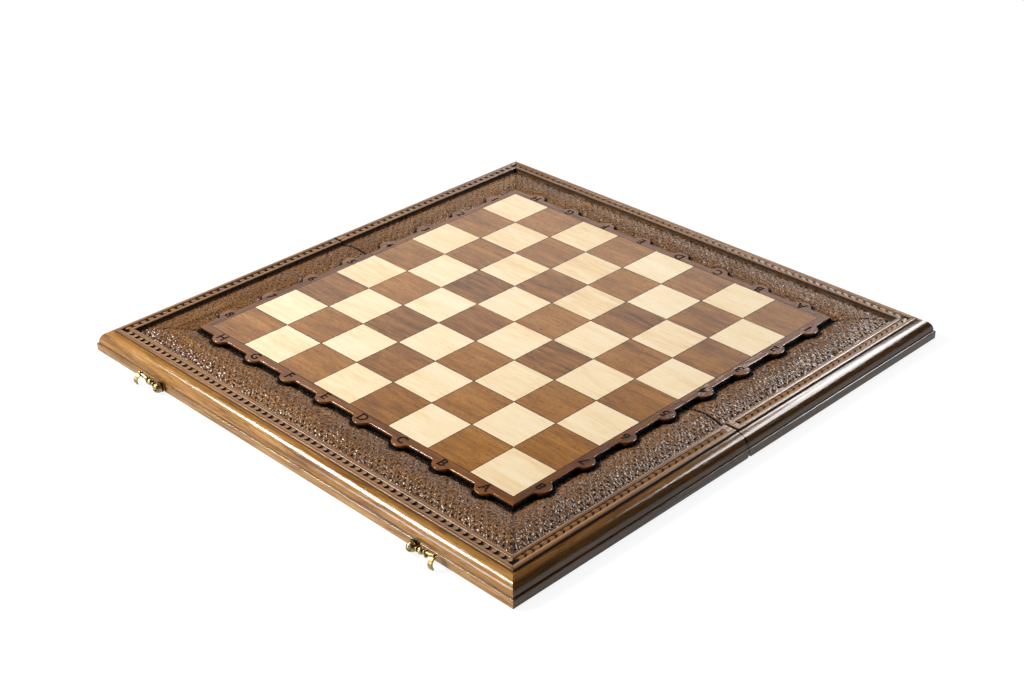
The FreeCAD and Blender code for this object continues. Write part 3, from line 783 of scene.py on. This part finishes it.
def scale_mesh():
    """One gouge-cut scale: it rises from its tail to a round tip and drops there."""
    points = []
    soil = []
    for i in range(SCALE_STEPS_ALONG + 1):
        part = i / SCALE_STEPS_ALONG
        climb = SCALE_TAIL_RISE + (1 - SCALE_TAIL_RISE) * part ** SCALE_RISE_POWER
        for j in range(SCALE_STEPS_ACROSS + 1):
            side = 2 * j / SCALE_STEPS_ACROSS - 1
            rise = climb * (1 - SCALE_SIDE_DROP * side ** 2)
            x = SCALE_PITCH * (part - 0.5) + SCALE_BOW * (0.5 - side ** 2)
            points.append((x, side * GROOVE_WIDTH / 2, SCALE_RISE * rise))
            # Painted shade: darkest at the tail, under the tip of the scale before, fading towards the tip
            # and the sides
            shade_and_stain = SCALE_TAIL_SHADE - part * SCALE_SHADE_FADE - side ** 2 * SCALE_SIDE_FADE
            soil.append(max(0, shade_and_stain))
    grid = np.arange(len(points)).reshape(-1, SCALE_STEPS_ACROSS + 1)
    faces = [[grid[i, j], grid[i + 1, j], grid[i + 1, j + 1], grid[i, j + 1]]
             for i in range(SCALE_STEPS_ALONG) for j in range(SCALE_STEPS_ACROSS)]
    rim = list(grid[0, :-1]) + list(grid[:-1, -1]) + list(grid[-1, :0:-1]) + list(grid[:0:-1, 0])
    first_low = len(points)
    for index in rim:
        x, y, _ = points[index]
        points.append((x, y, -SCALE_SINK))
        # Painted shade on the sunk walls
        soil.append(1)
    turns = len(rim)
    for k in range(turns):
        following = (k + 1) % turns
        faces.append([rim[k], rim[following], first_low + following, first_low + k])
    faces.append([first_low + k for k in range(turns)])
    mesh = bpy.data.meshes.new("scale")
    mesh.from_pydata(points, [], [[int(i) for i in face] for face in faces])
    set_numbers(mesh, "soil", soil)
    set_numbers(mesh, "across", [GROOVE_MIDDLE] * len(points))
    fix = bmesh.new()
    fix.from_mesh(mesh)
    bmesh.ops.recalc_face_normals(fix, faces=fix.faces)
    fix.to_mesh(mesh)
    fix.free()
    smooth_but_for(mesh, degrees=50)
    return mesh


CARVING_INPUTS = [
    ("Geometry", "NodeSocketGeometry"),
    ("Hole Pitch", "NodeSocketFloat"),
    ("Row Spacing", "NodeSocketFloat"),
    ("Hole Radius", "NodeSocketFloat"),
    ("Hole Depth", "NodeSocketFloat"),
    ("Stipple Size", "NodeSocketFloat"),
    ("Stipple Depth", "NodeSocketFloat"),
    ("Rim Place", "NodeSocketFloat"),
    ("Seed", "NodeSocketInt"),
    ("Scale", "NodeSocketObject"),
    ("First Scale", "NodeSocketVector"),
    ("Scale Step", "NodeSocketVector"),
    ("Scale Count", "NodeSocketInt"),
    ("Heading", "NodeSocketFloat"),
    ("Finish", "NodeSocketMaterial"),
]


def carving_tree():
    """Punches the ground of a border and lays a row of scales in its groove."""
    tree = bpy.data.node_groups.new("carving", "GeometryNodeTree")
    for name, kind in CARVING_INPUTS:
        tree.interface.new_socket(name, in_out="INPUT", socket_type=kind)
    tree.interface.new_socket("Geometry", in_out="OUTPUT", socket_type="NodeSocketGeometry")
    group = tree.nodes.new("NodeGroupInput")
    given = {name: Value(tree, group.outputs[name]) for name, _ in CARVING_INPUTS}
    board = given["Geometry"]

    def stored(name):
        return board.node("GeometryNodeInputNamedAttribute", {"data_type": "FLOAT"}, {"Name": name})

    along = stored("along")
    across = stored("across")
    ground = stored("ground")

    # Rows of deep holes, every other row shifted, deepest beside the rim
    row_place = (given["Rim Place"] - across) / given["Row Spacing"]
    row = row_place.math("FLOOR", row_place)
    column_place = along / given["Hole Pitch"] + row.math("MODULO", row, 2) * 0.5
    column = column_place.math("FLOOR", column_place)
    cell = joined(column, row, given["Seed"])
    chance = cell.node("ShaderNodeTexWhiteNoise", {"noise_dimensions": "3D"}, {"Vector": cell}, "Color")
    chance_along, chance_across, chance_size = split(chance)
    beside = (column_place - column - 0.5) * given["Hole Pitch"] + (chance_along - 0.5) * HOLE_DRIFT_ALONG
    ahead = (row_place - row - 0.5) * given["Row Spacing"] + (chance_across - 0.5) * HOLE_DRIFT_ACROSS
    distance = beside.math("SQRT", beside * beside + ahead * ahead)
    radius = given["Hole Radius"] * (HOLE_LEAST_SIZE + chance_size * HOLE_SIZE_SPREAD)
    hole = ease(distance, radius, radius * HOLE_BOTTOM_SHARE)
    strength = ease(row_place, DEEP_ROWS, FAINT_ROWS, 1.0, FAINT_STRENGTH)

    # Fine stippling between them
    flat = joined(along / given["Stipple Size"], across / given["Stipple Size"], given["Seed"])
    cells = flat.node("ShaderNodeTexVoronoi", {"voronoi_dimensions": "3D"},
                      {"Vector": flat, "Scale": 1.0, "Randomness": 0.85})
    stipple = ease(cells, 0.2, 0.62)
    gaps = ease(cells, 0.34, 0.74)
    waver = noise(flat, scale=0.3, detail=2) - 0.5

    sunk = hole * strength * given["Hole Depth"] + stipple * (1 - hole) * given["Stipple Depth"]
    lift = ground * (waver * WAVER_HEIGHT - sunk)
    # Painted shade in the holes, strongest in the deep rows beside the rim, and in the gaps between the
    # stipples
    hole_shade = FAINT_HOLE_SHADE + strength * (1 - FAINT_HOLE_SHADE)
    shade_and_stain = ground * (hole * hole_shade + gaps * STIPPLE_SHADE)
    soil = shade_and_stain.math("MAXIMUM", stored("soil"), shade_and_stain)
    with_shade = board.node("GeometryNodeStoreNamedAttribute", {"data_type": "FLOAT", "domain": "POINT"},
                        {"Geometry": board, "Name": "soil", "Value": soil})
    offset = along.node("ShaderNodeCombineXYZ", None, {2: lift})
    punched = with_shade.node("GeometryNodeSetPosition", None, {"Geometry": with_shade, "Offset": offset})

    # The row of scales, no two cut quite alike
    scale = board.node("GeometryNodeObjectInfo", None, {"Object": given["Scale"]}, "Geometry")
    line = board.node("GeometryNodeMeshLine", {"mode": "OFFSET"},
                      {"Count": given["Scale Count"], "Start Location": given["First Scale"],
                       "Offset": given["Scale Step"]})
    turn = given["Heading"].node("ShaderNodeCombineXYZ", None, {2: given["Heading"]})
    size = board.node("FunctionNodeRandomValue", {"data_type": "FLOAT_VECTOR"},
                      {"Min": SCALE_LEAST_SIZE, "Max": SCALE_MOST_SIZE, "Seed": given["Seed"]})
    scales = line.node("GeometryNodeInstanceOnPoints", None,
                       {"Points": line, "Instance": scale, "Rotation": turn, "Scale": size})
    both = board.node("GeometryNodeJoinGeometry", None, {"Geometry": punched})
    tree.links.new(scales.socket, both.socket.node.inputs["Geometry"])
    whole = both.node("GeometryNodeRealizeInstances", None, {"Geometry": both})
    finished = whole.node("GeometryNodeSetMaterial", None, {"Geometry": whole, "Material": given["Finish"]})
    out = tree.nodes.new("NodeGroupOutput")
    tree.links.new(finished.socket, out.inputs["Geometry"])
    return tree


def scale_row(side, start, stop):
    """First place, step and count of the scales along one border."""
    along_axis, out_axis = SIDES[side]
    corner_end = GROOVE_MIDDLE - SCALE_CORNER_MARGIN
    fold_end = GROOVE_FOLD_MARGIN + FOLD_HALF_GAP
    low = -corner_end if start == "mitre" else fold_end
    high = corner_end if stop == "mitre" else -fold_end
    count = round((high - low) / SCALE_PITCH)
    step = (high - low) / count
    first = along_axis * (low + step / 2) + out_axis * GROOVE_MIDDLE
    return Vector((*first, RIM_TOP - GROOVE_DEPTH)), Vector((*(along_axis * step), 0)), count


def carve_borders():
    """Makes the carved borders, which take the places of the plain ones."""
    tree = carving_tree()
    sockets = {item.name: item.identifier for item in tree.interface.items_tree if item.in_out == "INPUT"}
    scale = new_object("scale", scale_mesh())
    for seed, (node, (body, side, start, stop)) in enumerate(BORDERS.items()):
        piece = new_object(node.replace("border", "carving"), border_mesh(node, side, start, stop))
        first, step, count = scale_row(side, start, stop)
        along_axis = SIDES[side][0]
        settings = {
            "Hole Pitch": HOLE_PITCH,
            "Row Spacing": HOLE_ROW_SPACING,
            "Hole Radius": HOLE_RADIUS,
            "Hole Depth": HOLE_DEPTH,
            "Stipple Size": STIPPLE_SIZE,
            "Stipple Depth": STIPPLE_DEPTH,
            "Rim Place": RIM_INNER,
            "Seed": seed + 1,
            "Scale": scale,
            "First Scale": first,
            "Scale Step": step,
            "Scale Count": count,
            "Heading": math.atan2(along_axis.y, along_axis.x),
            "Finish": FINISHES["carved_walnut"],
        }
        modifier = piece.modifiers.new("carving", "NODES")
        modifier.node_group = tree
        for name, value in settings.items():
            modifier[sockets[name]] = value
        mesh = as_plain_mesh(piece)
        smooth_but_for(mesh, degrees=60)
        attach(piece, body)
        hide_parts(node)
    bpy.data.objects.remove(scale)


# The engraved field plates

def glyph_mesh(letter, place, turn):
    """One letter as a cutter that reaches into the plate, standing upright before it is turned."""
    curve = bpy.data.curves.new("glyph", "FONT")
    curve.body = letter
    curve.offset = GLYPH_WEIGHT
    # One unit thick, for the scale in z to make it reach as far above the plate as into it
    curve.extrude = 0.5
    curve.resolution_u = 4
    text = new_object("glyph", curve)
    mesh = bpy.data.meshes.new_from_object(text.evaluated_get(bpy.context.evaluated_depsgraph_get()))
    bpy.data.objects.remove(text)
    points = np.array([vertex.co for vertex in mesh.vertices])
    low, high = points.min(0), points.max(0)
    size = GLYPH_HEIGHT / (high[1] - low[1])
    add_serifs(mesh, letter, low, high)
    centre = Matrix.Translation((-(low[0] + high[0]) / 2, -(low[1] + high[1]) / 2, 0))
    shape = Matrix.Diagonal((size, size, GLYPH_DEPTH * 2, 1)) @ centre
    stand = Matrix.Translation((*place, BOARD_TOP)) @ Matrix.Rotation(turn, 4, "Z")
    mesh.transform(stand @ shape)
    return mesh


def add_serifs(mesh, letter, low, high):
    """Adds a short bar across the foot or head of each stem of a letter."""
    width, height = high[0] - low[0], high[1] - low[1]
    bar = bmesh.new()
    bar.from_mesh(mesh)
    for across, end in SERIFS.get(letter, []):
        inward = SERIF_HEIGHT / 2 if end == 0 else -SERIF_HEIGHT / 2
        middle = Matrix.Translation((low[0] + across * width, low[1] + (end + inward) * height, 0))
        bar_size = Matrix.Diagonal((SERIF_WIDTH * height, SERIF_HEIGHT * height, 1, 1))
        bmesh.ops.create_cube(bar, size=1, matrix=middle @ bar_size)
    bar.to_mesh(mesh)
    bar.free()


def engrave_plates():
    """Makes the field plates again with eased edges and engraved letters and numbers."""
    for half, sign in (("front", -1), ("rear", 1)):
        node = half + "_field_plate"
        shape = bmesh.new()
        shape.from_mesh(frame["nodes"][node].data)
        bmesh.ops.remove_doubles(shape, verts=shape.verts, dist=MERGE_DISTANCE)
        bmesh.ops.dissolve_limit(shape, angle_limit=SAME_PLANE, verts=shape.verts, edges=shape.edges)
        outline = [edge for edge in shape.edges if is_outline(edge)]
        bmesh.ops.bevel(shape, geom=outline, offset=PLATE_EDGE_ROUND, segments=2, profile=0.5,
                        affect="EDGES")
        mesh = bpy.data.meshes.new(half + "_engraved_plate")
        shape.to_mesh(mesh)
        shape.free()
        mesh.materials.append(FINISHES["plate_walnut"])
        mesh.materials.append(FINISHES["burnt_engraving"])
        for face in mesh.polygons:
            face.material_index = 0
        plate = new_object(half + "_engraved_plate", mesh)
        cutter = new_object("glyphs", glyph_cutters(sign))
        cut = plate.modifiers.new("engraving", "BOOLEAN")
        cut.operation = "DIFFERENCE"
        cut.solver = "EXACT"
        cut.use_self = True
        cut.material_mode = "TRANSFER"
        cut.object = cutter
        mesh = as_plain_mesh(plate)
        bpy.data.objects.remove(cutter)
        smooth_but_for(mesh, degrees=35)
        for face in mesh.polygons:
            face.use_smooth = abs(face.normal.z) < LEVEL_FACE
        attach(plate, half + "_half")
        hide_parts(node)


def is_outline(edge):
    """An edge of the plate's top face along its lobed outline."""
    first, second = (vertex.co for vertex in edge.verts)
    on_top = min(first.z, second.z) > BOARD_TOP - SAME_PLACE
    at_fold = max(abs(first.y), abs(second.y)) < FOLD_HALF_GAP + SAME_PLACE
    outside = all(max(abs(point.x), abs(point.y)) > FIELD_EDGE + SAME_PLACE for point in (first, second))
    return on_top and outside and not at_fold and edge.calc_face_angle(0) > SHARP_EDGE


def glyph_cutters(sign):
    """The letters along the long edge of one half and the numbers beside its ends, as one mesh."""
    whole = bmesh.new()
    meshes = []
    for i, (letter, number) in enumerate(zip(FILES, RANKS)):
        middle = (i + 0.5) * SQUARE - FIELD_HALF
        meshes.append(glyph_mesh(letter, (middle, sign * GLYPH_PLACE), 0 if sign < 0 else math.pi))
        if middle * sign > 0:
            meshes.append(glyph_mesh(number, (GLYPH_PLACE, middle), math.pi))
            meshes.append(glyph_mesh(number, (-GLYPH_PLACE, middle), 0))
    for mesh in meshes:
        whole.from_mesh(mesh)
        bpy.data.meshes.remove(mesh)
    bmesh.ops.remove_doubles(whole, verts=whole.verts, dist=MERGE_DISTANCE)
    bmesh.ops.recalc_face_normals(whole, faces=whole.faces)
    cutter = bpy.data.meshes.new("glyphs")
    whole.to_mesh(cutter)
    whole.free()
    cutter.materials.append(FINISHES["burnt_engraving"])
    return cutter


def dress_frame():
    """Gives every CAD node that stays its finish."""
    for name, node in frame["nodes"].items():
        slot = next(part["material_slot"] for part in frame["record"]["subparts"] if part["node"] == name)
        key = OTHER_FINISHES.get(name, slot)
        node.data.materials.clear()
        node.data.materials.append(FINISHES[key])


# Studio

def look_at(made, place, target, roll=0.0):
    turn = (target - place).to_track_quat("-Z", "Y").to_matrix().to_4x4()
    made.matrix_world = Matrix.Translation(place) @ turn @ Matrix.Rotation(math.radians(roll), 4, "Z")


def add_camera():
    lens = bpy.data.cameras.new("camera")
    lens.lens = CAMERA_LENS
    lens.sensor_width = CAMERA_SENSOR
    camera = new_object("camera", lens)
    look_at(camera, CAMERA_PLACE, CAMERA_TARGET, CAMERA_ROLL)
    bpy.context.scene.camera = camera


def add_softbox(name, place, width, height, power, lights=True):
    """A soft light, aimed at the board. One that lights nothing is only seen as a reflection."""
    light = bpy.data.lights.new(name, "AREA")
    light.shape = "RECTANGLE"
    light.size = width
    light.size_y = height
    light.energy = power
    box = new_object(name, light)
    box.visible_diffuse = lights
    look_at(box, Vector(place), Vector((0, 0, 0)))


def seen_share(tree):
    """1 for rays that come from the camera or off a glossy or clear surface, 0 for diffuse ones."""
    path = tree.nodes.new("ShaderNodeLightPath")
    camera = Value(tree, path.outputs["Is Camera Ray"])
    seen = camera + camera.beside("Is Glossy Ray") + camera.beside("Is Transmission Ray")
    return seen.math("MINIMUM", seen, 1)


def light_world():
    """Even dim light. Glossy surfaces see a studio, white low down, darker overhead and on the right."""
    world = bpy.data.worlds.new("studio")
    world.use_nodes = True
    bpy.context.scene.world = world
    tree = world.node_tree
    seen = seen_share(tree)
    direction = seen.node("ShaderNodeTexCoord", None, None, "Generated")
    to_right, _, height = split(direction)
    dim = ease(to_right, 0.0, STUDIO_RIGHT, 1.0, STUDIO_RIGHT_LIGHT)
    walls = ease(height, STUDIO_WALL_TOP, STUDIO_CEILING, 1.0, STUDIO_CEILING_LIGHT)
    camera = seen.node("ShaderNodeLightPath", None, None, "Is Camera Ray")
    studio = camera.math("MAXIMUM", camera, walls * dim)
    background = tree.nodes["Background"]
    background.inputs["Color"].default_value = WHITE
    strength = seen * studio + (1 - seen) * dim * AMBIENT_LIGHT
    tree.links.new(strength.socket, background.inputs["Strength"])


def add_floor():
    """A white table top: it keeps the board's shadow and fades to plain white further out."""
    mesh = bpy.data.meshes.new("table_top")
    corners = [(-1, -1), (1, -1), (1, 1), (-1, 1)]
    points = [(x * TABLE_REACH, y * TABLE_REACH, TABLE_LEVEL) for x, y in corners]
    mesh.from_pydata(points, [], [(0, 1, 2, 3)])
    floor = new_object("table_top", mesh)
    material = bpy.data.materials.new("table_top")
    material.use_nodes = True
    tree = material.node_tree
    tree.nodes.clear()
    seen = seen_share(tree)
    place = seen.node("ShaderNodeTexCoord", None, None, "Object")
    from_middle = place.node("ShaderNodeVectorMath", {"operation": "LENGTH"}, {0: place}, "Value")
    far = ease(from_middle, TABLE_SHADOW_REACH, TABLE_WHITE_REACH)
    lit = seen.node("ShaderNodeBsdfDiffuse", None, {"Color": TABLE_GREY})
    glow = seen.node("ShaderNodeEmission", None, {"Color": WHITE, "Strength": seen * TABLE_GLOW})
    near = seen.node("ShaderNodeAddShader", None, {0: lit, 1: glow})
    white = seen.node("ShaderNodeEmission", None, {"Color": WHITE, "Strength": 1.0})
    shader = seen.node("ShaderNodeMixShader", None, {0: far * seen, 1: near, 2: white})
    out = tree.nodes.new("ShaderNodeOutputMaterial")
    tree.links.new(shader.socket, out.inputs["Surface"])
    mesh.materials.append(material)


dress_frame()
carve_borders()
engrave_plates()
add_camera()
for softbox, settings in SOFTBOXES.items():
    add_softbox(softbox, **settings)
light_world()
add_floor()
bpy.context.scene.view_settings.view_transform = "Standard"
